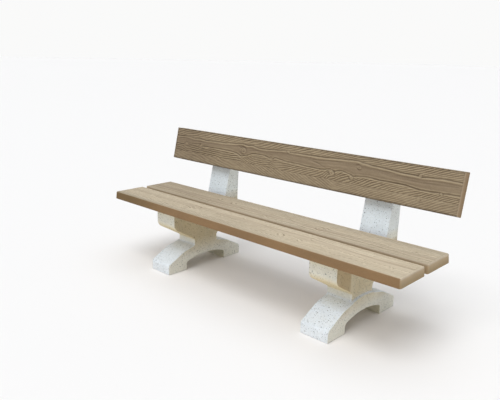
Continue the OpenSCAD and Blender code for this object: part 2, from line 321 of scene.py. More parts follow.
def soften(a, sigma, axis):
    """A Gaussian blur along one axis of a grid."""
    n = int(math.ceil(2.5 * sigma))
    k = np.exp(-0.5 * (np.arange(-n, n + 1) / sigma) ** 2)
    k /= k.sum()
    pad = [(0, 0), (0, 0)]
    pad[axis] = (n, n)
    p = np.pad(a, pad, mode="edge")
    return sum(w * (p[i : i + a.shape[0]] if axis == 0 else p[:, i : i + a.shape[1]]) for i, w in enumerate(k))


def stations(half, pitch):
    """Positions from -half to half, closer together near both ends."""
    near = [0.0, 1.2, 2.4, 3.7, 5.2, 7.0, 9.0]
    inner = half - near[-1]
    n = max(2, int(round(2 * inner / pitch)))
    mid = np.linspace(-inner, inner, n + 1)
    return np.concatenate([[-half + d for d in near[:-1]], mid, [half - d for d in near[:-1]][::-1]])


def plank_mesh(name, place, pitch_u, pitch_v, edge_r, rim, fade, wear, inner, seed):
    """place turns plank coordinates (u, v, height) into the row frame, all in millimetres."""
    us = stations(PLANK_L / 2 - rim, pitch_u)
    vs = stations(PLANK_W / 2 - rim, pitch_v) + PLANK_W / 2
    nu, nv = len(us), len(vs)
    U, V = np.meshgrid(us, vs, indexing="ij")
    h, soft = grain(U, V, wear)
    edge = np.minimum.reduce([U - us[0], us[-1] - U, V - vs[0], vs[-1] - V])
    h = h * step(edge, -0.3 * fade, fade)
    hollow = np.clip(0.5 - (h - soften(soften(h, 9.0 / pitch_u, 0), 9.0 / pitch_v, 1)) / 4.4, 0, 1)
    top = np.stack([U, V, PLANK_T + h], -1).reshape(-1, 3)
    idx = np.arange(nu * nv).reshape(nu, nv)
    quads = [np.stack([idx[:-1, :-1], idx[1:, :-1], idx[1:, 1:], idx[:-1, 1:]], -1).reshape(-1, 4)]
    ring = np.concatenate([idx[:, 0], idx[-1, 1:], idx[-2::-1, -1], idx[0, -2:0:-1]])
    a0 = top[ring][:, :2] - np.array([0, PLANK_W / 2])
    hx, hy = PLANK_L / 2 - rim, PLANK_W / 2 - rim
    zone = 14.0
    rows, verts, cover = [ring], [top], [np.stack([hollow.ravel(), soft.ravel(), np.zeros(nu * nv)], -1)]
    count = nu * nv
    for inset, z in reversed(rim_profile(edge_r, rim)[:-1]):
        rad = rim - inset
        ex, ey = hx + rad, hy + rad
        out = np.empty_like(a0)
        for k, (x, y) in enumerate(a0):
            sx, sy = (1 if x >= 0 else -1), (1 if y >= 0 else -1)
            dx, dy = hx - abs(x), hy - abs(y)  # distances from this quarter's corner
            along_y = dx < 1e-9  # this point is on an end of the plank
            d = dy if along_y else dx
            full = math.pi * rad / 4
            t = d / zone * (full + zone) if d < zone else full + d
            if t < full:
                ang = t / rad
                ang = math.pi / 4 - ang if along_y else math.pi / 4 + ang
                px, py = hx + rad * math.cos(ang), hy + rad * math.sin(ang)
            elif along_y:
                px, py = ex, hy - (t - full)
            else:
                px, py = hx - (t - full), ey
            out[k] = (sx * px, sy * py)
        wob = 0.22 * noise3(out[:, 0] / 34, out[:, 1] / 34, z / 20, seed) * step(z, 1, 8) * (1 - step(z, 41, 45))
        layer = np.column_stack([out[:, 0] * (1 + wob / 1e5), out[:, 1] + PLANK_W / 2 - np.sign(out[:, 1]) * np.abs(wob), np.full(len(out), z)])
        new = np.arange(count, count + len(ring))
        prev = rows[-1]
        quads.append(np.stack([prev, new, np.roll(new, -1), np.roll(prev, -1)], -1))
        rows.append(new)
        verts.append(layer)
        on_end = np.maximum(step(np.abs(out[:, 0]) - hx, 0.1 * rad, 0.98 * rad), inner * step(out[:, 1] - hy, 0.1 * rad, 0.98 * rad))
        cover.append(np.column_stack([on_end, np.zeros(len(ring)), np.full(len(ring), min(1.0, (PLANK_T - z) / 3.0))]))
        count += len(ring)
    # the trowelled face: triangles over the last ring, gently uneven
    last = rows[-1]
    flat = np.concatenate(verts)[last][:, :2]
    extra = lattice(flat, 13.0, 6.0)
    tri = filled(flat, extra)
    lift = 0.35 * (1 + fbm2(extra[:, 0] / 60, extra[:, 1] / 38, seed + 3)) * step(gap_to(flat, extra), 4, 22) + 0.15 * (
        1 + noise2(extra[:, 0] / 14, extra[:, 1] / 11, seed + 5)
    ) * step(gap_to(flat, extra), 4, 16)
    verts.append(np.column_stack([extra, lift]))
    cover.append(np.tile([0.0, 0.0, 2.0], (len(extra), 1)))
    to = np.concatenate([last, np.arange(count, count + len(extra))])
    tris = to[tri]
    co = np.concatenate(verts)
    p0, p1, p2 = (co[tris[:, i]] for i in range(3))
    up = np.cross(p1 - p0, p2 - p0)[:, 2] > 0
    tris[up] = tris[up][:, ::-1]
    cover = np.concatenate(cover)
    cover[last, 2], cover[last, 0] = 1.5, 0.0
    world = place(co)
    me = mesh_from(name, world * MM, np.concatenate(quads), tris)
    ends = np.where(cover[:, 2] > 0, cover[:, 0], 0.0)
    point_attribute(me, "ends", np.clip(ends, 0, 1))
    point_attribute(me, "relief", np.where(cover[:, 2] > 0, 0.5, cover[:, 0]))
    point_attribute(me, "band", cover[:, 1])
    point_attribute(me, "side", cover[:, 2])
    point_attribute(me, "drop", np.clip(1 - co[:, 2] / PLANK_T, 0, 1))
    point_attribute(me, "grain_u", co[:, 0] * MM)
    point_attribute(me, "grain_v", co[:, 1] * MM)
    me.set_sharp_from_angle(angle=math.radians(70))
    return me


def on_front_seat(p):
    return np.column_stack([p[:, 0], p[:, 1] - DEPTH / 2, 380 + p[:, 2]])


def on_rear_seat(p):  # the same mould, laid the other way round
    return np.column_stack([-p[:, 0], 232 + PLANK_W - p[:, 1] - DEPTH / 2, 380 + p[:, 2]])


TILT = math.radians(13)
BACK_Y, BACK_Z = 512.0, 576.0


def back_point(x, s, t):
    """A point x along, s up the backrest's rear face and t towards the sitter from it."""
    return np.column_stack(
        [x, BACK_Y + s * math.sin(TILT) - t * math.cos(TILT) - DEPTH / 2, BACK_Z + s * math.cos(TILT) + t * math.sin(TILT)]
    )


def on_back(p):
    return back_point(p[:, 0], p[:, 1], p[:, 2])


# ---------------------------------------------------------------- the pedestals
MID_Y = 310.5
PED_X, PED_W, RECESS = 575.0, 160.0, 14.0
BEARER_Z, BEARER_Y = 376.0, 62.0


def rear_face(z):
    return 586 + (z - 380) * 0.038


def up_face(s, t=0.0):
    return (BACK_Y + s * math.sin(TILT) + t * math.cos(TILT), BACK_Z + s * math.cos(TILT) - t * math.sin(TILT))


def outline():
    """Side view of a pedestal, anticlockwise, with points every few millimetres."""
    y0, y1 = 16.0, 605.0
    a0, a1, side_z, crown = y0 + 142, y1 - 142, 49.0, 77.0
    half, sag = (a1 - a0) / 2, crown - side_z
    rad = (half * half + sag * sag) / (2 * sag)
    arch = []
    for i in range(1, 16):
        y = a0 + (a1 - a0) * i / 16
        arch.append((y, crown - rad + math.sqrt(rad * rad - (y - MID_Y) ** 2), 0))
    slope = 0.586
    n0, n1 = MID_Y - 91.5, MID_Y + 91.5
    top = 184.0
    top_t = (rear_face(up_face(top)[1]) - up_face(top)[0]) / (math.cos(TILT) + math.sin(TILT) * 0.038)
    front_low = BACK_Y - (BACK_Z - BEARER_Z) * math.tan(TILT)
    c = [(y0, 0, 5), (a0, 0, 5), (a0, side_z, 15)] + arch
    c += [(a1, side_z, 15), (a1, 0, 5), (y1, 0, 5), (y1, 60, 26), (MID_Y + 175.5, 121, 150), (n1, 141, 14), (n1, 181, 14)]
    c += [(rear_face(290), 181 + (rear_face(290) - n1) * slope, 45)]
    c += [(*up_face(top, top_t), 10), (*up_face(top), 7), (front_low, BEARER_Z, 8), (BEARER_Y, BEARER_Z, 5)]
    c += [(BEARER_Y, 181 + (n0 - BEARER_Y) * slope, 45), (n0, 181, 14), (n0, 141, 14), (MID_Y - 175.5, 121, 150), (y0, 60, 26)]
    arcs = []
    for k in range(len(c)):
        a, b, d = (np.array(c[(k + m) % len(c)][:2], float) for m in (-1, 0, 1))
        r = c[k][2]
        if r <= 0:
            arcs.append([b])
            continue
        p, q = (a - b) / np.linalg.norm(a - b), (d - b) / np.linalg.norm(d - b)
        hang = math.acos(float(np.clip(p @ q, -1, 1))) / 2
        o = b + (p + q) / np.linalg.norm(p + q) * (r / math.sin(hang))
        s, e = b + p * (r / math.tan(hang)), b + q * (r / math.tan(hang))
        t0, t1 = math.atan2(*(s - o)[::-1]), math.atan2(*(e - o)[::-1])
        da = (t1 - t0 + math.pi) % (2 * math.pi) - math.pi
        n = max(4, int(math.ceil(abs(da) * r / min(4.5, max(1.3, 0.25 * r)))))
        arcs.append([o + r * np.array([math.cos(t0 + da * i / n), math.sin(t0 + da * i / n)]) for i in range(n + 1)])
    pts = []
    for k, arc in enumerate(arcs):
        pts += list(arc)
        nxt = arcs[(k + 1) % len(arcs)][0]
        gap = np.linalg.norm(nxt - arc[-1])
        n = int(gap // 5.0)
        pts += [arc[-1] + (nxt - arc[-1]) * i / (n + 1) for i in range(1, n + 1)]
    return np.array(pts)


RECESS_Y0, RECESS_Y1, CROWN_Z, NECK_Z = 184.0, 2 * 310.5 - 184.0, 152.0, 141.0


def recess_depth(y, z):
    """How far the outer side is set back at (y, z): 0 on the arms and the foot, 14 on the panel between them."""
    u = (y - MID_Y) / 91.5
    floor = NECK_Z + (CROWN_Z - NECK_Z) * (1 - np.clip(u, -1, 1) ** 2)
    d = np.minimum.reduce([y - RECESS_Y0, RECESS_Y1 - y, z - floor])
    return RECESS * step(d, -0.6, 3.6)


def pedestal_mesh(name, side):
    loop = outline()
    # more points where the recess meets the outline
    extra = []
    for i in range(len(loop)):
        a, b = loop[i], loop[(i + 1) % len(loop)]
        extra.append(a)
        da, db = recess_depth(*a), recess_depth(*b)
        if abs(da - db) > 0.4:
            n = int(min(6, max(1, np.linalg.norm(b - a) // 1.0)))
            extra += [a + (b - a) * k / (n + 1) for k in range(1, n + 1)]
    loop = np.array(extra)
    tan = np.roll(loop, -1, 0) - np.roll(loop, 1, 0)
    tan /= np.linalg.norm(tan, axis=1)[:, None]
    normal = np.column_stack([tan[:, 1], -tan[:, 0]])
    n = len(loop)
    r = 4.2
    outer_end = PED_W / 2 - recess_depth(loop[:, 0], loop[:, 1])
    rows, verts = [], []
    angs = [math.radians(a) for a in (90, 68, 45, 22)]
    cuts = 30
    # columns along X: from the inner side's rim, over the edge, along, over the outer edge
    for a in angs:
        verts.append(np.column_stack([np.full(n, -PED_W / 2 + r - r * math.sin(a)), loop - normal * (r - r * math.cos(a))]))
    for k in range(cuts + 1):
        x = -PED_W / 2 + r + (outer_end - r + PED_W / 2 - r) * k / cuts
        verts.append(np.column_stack([x, loop]))
    for a in angs[::-1]:
        verts.append(np.column_stack([outer_end - r + r * math.sin(a), loop - normal * (r - r * math.cos(a))]))
    m = len(verts)
    idx = np.arange(m * n).reshape(m, n)
    quads = np.stack([idx[:-1, :], np.roll(idx, -1, 1)[:-1, :], np.roll(idx, -1, 1)[1:, :], idx[1:, :]], -1).reshape(-1, 4)
    co = np.concatenate(verts)
    facing = np.concatenate([np.column_stack([np.zeros(n), normal])] * m)
    tris, count = [], m * n
    for face, base in ((-1, idx[0]), (1, idx[-1])):
        rim = co[base][:, 1:]
        pts = lattice(rim, 7.5, 3.2)
        if face > 0:  # rows of points along both edges of the recess wall
            more = []
            ys = np.concatenate([np.arange(-88, 89, 4.0)])
            for d in (-2.0, -0.6, 0.5, 1.5, 2.5, 3.6, 5.0):
                for t in ys:
                    u = t / 91.5
                    more.append((MID_Y + t, NECK_Z + (CROWN_Z - NECK_Z) * (1 - u * u) + d))
                for z in np.arange(196, 375, 4.0):
                    more.append((RECESS_Y0 + d, z + (1 if z < 210 else 0)))
                    more.append((RECESS_Y1 - d, z + (1 if z < 210 else 0)))
            more = np.array(more)
            more = more[inside(rim, more)]
            more = more[gap_to(rim, more) > 1.2]
            away = np.full(len(pts), 1e9)
            for q in more[:: 1]:
                away = np.minimum(away, np.hypot(pts[:, 0] - q[0], pts[:, 1] - q[1]))
            pts = np.concatenate([pts[away > 3.4], more])
            x = PED_W / 2 - recess_depth(pts[:, 0], pts[:, 1])
        else:
            x = np.full(len(pts), -PED_W / 2)
        tri = filled(rim, pts)
        to = np.concatenate([base, np.arange(count, count + len(pts))])
        t = to[tri]
        co = np.concatenate([co, np.column_stack([x, pts])])
        facing = np.concatenate([facing, np.tile([float(face), 0, 0], (len(pts), 1))])
        a, b, c = (co[t[:, i]] for i in range(3))
        wrong = np.cross(b - a, c - a)[:, 0] * face < 0
        t[wrong] = t[wrong][:, ::-1]
        tris.append(t)
        count += len(pts)
    # a cast face is never quite flat
    p = co
    rough = 0.30 * noise3(p[:, 0] / 38, p[:, 1] / 38, p[:, 2] / 38, 41) + 0.22 * noise3(p[:, 0] / 13, p[:, 1] / 13, p[:, 2] / 13, 42)
    rough += 0.14 * noise3(p[:, 0] / 6, p[:, 1] / 6, p[:, 2] / 6, 43) - 0.25
    rough *= step(p[:, 2], 0.5, 6)
    rough *= 1 - step(p[:, 2], 370, 374) * (1 - step(p[:, 2], 378, 386))
    co = co + facing * rough[:, None]
    if side < 0:
        co[:, 0] *= -1
        quads = quads[:, ::-1]
        tris = [t[:, ::-1] for t in tris]
    co[:, 0] += side * PED_X
    co[:, 1] -= DEPTH / 2
    me = mesh_from(name, co * MM, quads, np.concatenate(tris))
    return me


def cutter(center_x, s, radius, t0, t1, flare):
    """A round cutter from t0 to t1 along the backrest's normal, with a small flare at its rear mouth."""
    seg = 40
    rings = [(t0 - 20, radius + flare), (t0, radius + flare), (t0 + flare, radius), (t1, radius)]
    verts, quads = [], []
    for t, r in rings:
        a = np.arange(seg) * 2 * math.pi / seg
        q = back_point(center_x + r * np.cos(a), s + r * np.sin(a), np.full(seg, t))
        verts.append(q)
    for k in range(len(rings) - 1):
        i = np.arange(seg)
        j = (i + 1) % seg
        quads.append(np.stack([k * seg + i, k * seg + j, (k + 1) * seg + j, (k + 1) * seg + i], -1))
    co = np.concatenate(verts)
    me = mesh_from("cutter", co * MM, np.concatenate(quads), [])
    import bmesh

    bm = bmesh.new()
    bm.from_mesh(me)
    bm.verts.ensure_lookup_table()
    bm.faces.new([bm.verts[i] for i in range(seg)][::-1])
    bm.faces.new([bm.verts[(len(rings) - 1) * seg + i] for i in range(seg)])
    bmesh.ops.recalc_face_normals(bm, faces=bm.faces)
    bm.to_mesh(me)
    bm.free()
    ob = bpy.data.objects.new("cutter", me)
    bpy.context.scene.collection.objects.link(ob)
    return ob


def cut(ob, tools):
    for t in tools:
        m = ob.modifiers.new("cut", "BOOLEAN")
        m.operation, m.solver, m.object = "DIFFERENCE", "EXACT", t
    bpy.context.view_layer.update()
    done = bpy.data.meshes.new_from_object(ob.evaluated_get(bpy.context.evaluated_depsgraph_get()))
    ob.modifiers.clear()
    old, ob.data = ob.data, done
    bpy.data.meshes.remove(old)
    for t in tools:
        me = t.data
        bpy.data.objects.remove(t)
        bpy.data.meshes.remove(me)


# ---------------------------------------------------------------- materials
class Nodes:
    """A short way to write a node tree."""

    def __init__(self, name):
        self.m = bpy.data.materials.new(name)
        self.m.use_nodes = True
        self.t = self.m.node_tree
        self.t.nodes.clear()
        self.out = self.t.nodes.new("ShaderNodeOutputMaterial")
        self.p = self.t.nodes.new("ShaderNodeBsdfPrincipled")
        self.t.links.new(self.p.outputs[0], self.out.inputs[0])

    def put(self, socket, value):
        if isinstance(value, bpy.types.NodeSocket):
            self.t.links.new(value, socket)
        else:
            socket.default_value = value

    def node(self, kind, out=0, props=None, **inputs):
        n = self.t.nodes.new(kind)
        for k, v in (props or {}).items():
            setattr(n, k, v)
        for k, v in inputs.items():
            self.put(n.inputs[int(k[1:]) if k[0] == "i" and k[1:].isdigit() else k.replace("_", " ")], v)
        return n.outputs[out]

    def math(self, op, a, b=0.0, clamp=False):
        return self.node("ShaderNodeMath", props={"operation": op, "use_clamp": clamp}, i0=a, i1=b)

    def ramp(self, value, stops, interpolation="LINEAR"):
        n = self.t.nodes.new("ShaderNodeValToRGB")
        n.color_ramp.interpolation = interpolation
        e = n.color_ramp.elements
        while len(e) < len(stops):
            e.new(0.5)
        for k, (at, c) in enumerate(stops):
            e[k].position = at
            e[k].color = (*c, 1) if hasattr(c, "__len__") else (c, c, c, 1)
        self.put(n.inputs[0], value)
        return n.outputs[0]

    def mix(self, factor, a, b, kind="MIX"):
        n = self.t.nodes.new("ShaderNodeMix")
        n.data_type, n.blend_type = "RGBA", kind
        n.clamp_factor = True
        self.put(n.inputs[0], factor)
        self.put(n.inputs[6], a if isinstance(a, bpy.types.NodeSocket) else (*a, 1))
        self.put(n.inputs[7], b if isinstance(b, bpy.types.NodeSocket) else (*b, 1))
        return n.outputs[2]

    def attribute(self, name):
        n = self.t.nodes.new("ShaderNodeAttribute")
        n.attribute_name = name
        return n.outputs["Fac"]

    def coords(self):
        return self.node("ShaderNodeTexCoord", out=3)

    def mapped(self, vector, scale, location=(0, 0, 0)):
        n = self.t.nodes.new("ShaderNodeMapping")
        n.inputs["Scale"].default_value = scale
        n.inputs["Location"].default_value = location
        self.put(n.inputs["Vector"], vector)
        return n.outputs[0]

    def noise(self, vector, scale, detail=3.0, rough=0.55, distortion=0.0):
        return self.node(
            "ShaderNodeTexNoise", i0=vector, Scale=scale, Detail=detail, Roughness=rough, Distortion=distortion
        )

    def bump(self, height, strength, distance, normal=None):
        n = self.t.nodes.new("ShaderNodeBump")
        n.inputs["Strength"].default_value = strength
        n.inputs["Distance"].default_value = distance
        self.put(n.inputs["Height"], height)
        if normal is not None:
            self.put(n.inputs["Normal"], normal)
        return n.outputs[0]


def lin(r, g, b):
    """An 8-bit screen colour as the linear colour that shaders use."""
    f = lambda c: c / 12.92 if c <= 0.04045 else ((c + 0.055) / 1.055) ** 2.4
    return tuple(f(v / 255) for v in (r, g, b))


def wood_concrete(name, face, dark, side, end, groove_stain_and_shade, worn_and_highlight, mottled, lean, seed):
    """Coloured concrete: a grained face, darker where the grain is deep (stain held there, and painted shade) and paler
    on its ridges (wear, and a painted highlight), and smooth moulded sides.
    """
    n = Nodes(name)
    u, v = n.attribute("grain_u"), n.attribute("grain_v")
    along = n.node("ShaderNodeCombineXYZ", X=u, Y=v, Z=float(seed))
    relief, band, flank, ends = n.attribute("relief"), n.attribute("band"), n.attribute("side"), n.attribute("ends")
    on_side = n.math("MINIMUM", flank, 1.0)
    # long soft streaks of pigment, drawn out along the grain
    long = n.noise(n.mapped(along, (2.2, 26.0, 1.0)), 1.0, 4.0, 0.6, 0.6)
    fine = n.noise(n.mapped(along, (14.0, 190.0, 1.0)), 1.0, 3.0, 0.6, 0.2)
    patch = n.noise(n.mapped(along, (3.0, 9.0, 1.0)), 1.0, 3.0, 0.5, 0.3)
    col = n.mix(n.ramp(long, [(0.30, 0.0), (0.70, 1.0)]), dark, face)
    col = n.mix(n.math("MULTIPLY", n.ramp(fine, [(0.38, 0.0), (0.72, 1.0)]), 0.45), col, tuple(c * 1.16 for c in face))
    col = n.mix(n.math("MULTIPLY", n.ramp(patch, [(0.40, 0.0), (0.75, 1.0)]), 0.30), col, tuple(c * 0.86 for c in face))
    blotch = n.noise(n.mapped(along, (24.0, 85.0, 1.0)), 1.0, 3.0, 0.6, 0.6)
    col = n.mix(n.math("MULTIPLY", n.ramp(blotch, [(0.36, 1.0), (0.52, 0.0)]), mottled), col, tuple(c * f for c, f in zip(dark, (0.68, 0.64, 0.60))))
    col = n.mix(n.math("MULTIPLY", n.ramp(blotch, [(0.50, 0.0), (0.66, 1.0)]), mottled), col, tuple(min(1.0, c * 1.22) for c in face))
    # the heartwood band takes a little more stain; the deep grain is darker, partly stain held in it and partly painted
    # shade
    heart = n.ramp(n.noise(n.mapped(along, (1.5, 36.0, 1.0)), 1.0, 3.0, 0.5, 0.5), [(0.36, 0.0), (0.64, 1.0)])
    col = n.mix(n.math("MULTIPLY", band, 0.70), col, n.mix(heart, tuple(c * f for c, f in zip(dark, (0.86, 0.82, 0.82))), tuple(c * f for c, f in zip(face, (0.98, 0.95, 0.94)))))
    col = n.mix(n.math("MULTIPLY", n.ramp(relief, [(0.52, 0.0), (0.90, 1.0)]), groove_stain_and_shade), col, tuple(c * f for c, f in zip(dark, (0.42, 0.38, 0.34))))
    # the ridges are paler, partly wear and partly a painted highlight
    crest = n.math("MULTIPLY", n.ramp(relief, [(0.10, 1.0), (0.50, 0.0)]), n.math("SUBTRACT", 1.0, on_side))
    col = n.mix(n.math("MULTIPLY", crest, worn_and_highlight), col, tuple(min(1.0, c * 1.45) for c in face))
    # the planks' colour changes along and across them: the front plank lighter over its right half and its rear half
    # and darker at the left of its front edge, the rear plank darker towards the left and along its edge at the gap,
    # the backrest darker along its band and at its left end
    wander = n.math("MULTIPLY", n.math("SUBTRACT", n.noise(n.mapped(along, (2.6, 9.0, 1.0)), 1.0, 3.0, 0.55, 0.4), 0.5), 0.5)
    if lean > 0:
        right = n.math("MULTIPLY", n.math("ADD", u, wander), 2.4, True)
        left = n.math("MULTIPLY", n.math("SUBTRACT", n.math("MULTIPLY", u, -1.0), 0.2), 1.5, True)
        inner = n.ramp(n.math("ADD", v, n.math("MULTIPLY", wander, 0.10)), [(0.13, 0.0), (0.17, 1.0)])
        inner = n.math("MULTIPLY", n.math("MULTIPLY", inner, n.ramp(v, [(0.190, 1.0), (0.200, 0.35)])), n.math("ADD", 0.9, n.math("MULTIPLY", left, -0.45)))
        col = n.mix(n.math("MULTIPLY", n.math("MAXIMUM", n.math("MULTIPLY", right, 0.8), inner), 0.9), col, n.mix(1.0, col, (1.20, 1.21, 1.22), "MULTIPLY"))
        col = n.mix(n.math("MULTIPLY", left, n.ramp(v, [(0.012, 1.0), (0.045, 0.0)])), col, n.mix(1.0, col, (0.80, 0.79, 0.77), "MULTIPLY"))
    elif lean < 0:
        left = n.math("MULTIPLY", n.math("ADD", n.math("SUBTRACT", u, 0.12), wander), 2.4, True)
        col = n.mix(left, col, n.mix(1.0, col, (0.82, 0.80, 0.78), "MULTIPLY"))
        col = n.mix(n.math("MULTIPLY", n.ramp(v, [(0.182, 0.0), (0.198, 1.0)]), 0.30), col, tuple(c * 0.72 for c in face))
    else:
        col = n.mix(n.math("MULTIPLY", band, 0.75), col, n.mix(1.0, col, (0.84, 0.83, 0.83), "MULTIPLY"))
        left = n.math("MULTIPLY", n.math("SUBTRACT", n.math("ADD", n.math("MULTIPLY", u, -1.0), n.math("MULTIPLY", wander, 0.4)), 0.55), 4.0, True)
        col = n.mix(left, col, n.mix(1.0, col, (0.82, 0.80, 0.79), "MULTIPLY"))
        # painted shade: a dark strip along the backrest's face at its lower edge
        col = n.mix(n.ramp(v, [(0.005, 1.0), (0.011, 0.0)]), col, n.mix(1.0, col, (0.44, 0.40, 0.36), "MULTIPLY"))
    # the smooth moulded sides, the ends (paler from wear, with painted light and shade) and the trowelled face
    smooth = n.noise(n.mapped(n.coords(), (5.0, 14.0, 22.0)), 1.0, 3.0, 0.55, 0.4)
    side_col = n.mix(n.ramp(smooth, [(0.30, 0.0), (0.72, 1.0)]), tuple(c * 0.92 for c in side), tuple(c * 1.10 for c in side))
    if lean:
        far = n.math("MULTIPLY", n.math("SUBTRACT", n.math("MULTIPLY", u, -lean), 0.45), 2.6, True)
        side_col = n.mix(far, side_col, tuple(c * f for c, f in zip(side, (0.66, 0.68, 0.56))))
    drop = n.attribute("drop")
    # painted light and shade on the ends: a pale blue painted highlight along their top edge, darker and yellower
    # painted shade towards the bottom
    end_col = n.mix(n.ramp(drop, [(0.05, 0.0), (0.75, 1.0)]), tuple(min(1, c * 1.24) for c in end), tuple(c * f for c, f in zip(end, (0.83, 0.79, 0.65))))
    end_col = n.mix(n.ramp(drop, [(0.08, 1.0), (0.25, 0.0)]), end_col, tuple(min(1, c * f) for c, f in zip(end, (1.38, 1.51, 1.77))))
    end_col = n.mix(n.math("MULTIPLY", n.ramp(smooth, [(0.30, 1.0), (0.60, 0.0)]), 0.25), end_col, tuple(c * 0.80 for c in end))
    col = n.mix(on_side, col, n.mix(ends, side_col, end_col))
    back_col = n.mix(n.noise(n.coords(), 26.0, 5.0, 0.65), tuple(c * 0.80 for c in face), tuple(c * 1.02 for c in face))
    col = n.mix(n.math("SUBTRACT", flank, 1.0, True), col, back_col)
    # sand in the mix
    sand = n.node("ShaderNodeTexVoronoi", out=1, i0=n.coords(), Scale=560.0)
    grit = n.node("ShaderNodeSeparateColor", i0=sand)
    col = n.mix(n.math("MULTIPLY", n.ramp(grit, [(0.0, 1.0), (0.16, 0.0)]), 0.16), col, tuple(c * 0.45 for c in dark))
    bright = n.math("MULTIPLY", n.ramp(grit, [(0.88, 0.0), (1.0, 1.0)]), n.math("SUBTRACT", 0.20, n.math("MULTIPLY", on_side, 0.13)))
    col = n.mix(bright, col, tuple(min(1, c * 1.5) for c in face))
    n.put(n.p.inputs["Base Color"], col)
    n.put(n.p.inputs["Roughness"], n.ramp(n.noise(n.coords(), 60.0, 3.0, 0.6), [(0.25, 0.62), (0.75, 0.78)]))
    n.p.inputs["Specular IOR Level"].default_value = 0.35
    tiny = n.noise(n.coords(), 900.0, 3.0, 0.7)
    small = n.noise(n.mapped(along, (60.0, 420.0, 1.0)), 1.0, 3.0, 0.6)
    height = n.math("ADD", n.math("MULTIPLY", tiny, 0.45), n.math("MULTIPLY", small, 0.55))
    n.put(n.p.inputs["Normal"], n.bump(height, 0.35, 0.0006))
    return n.m


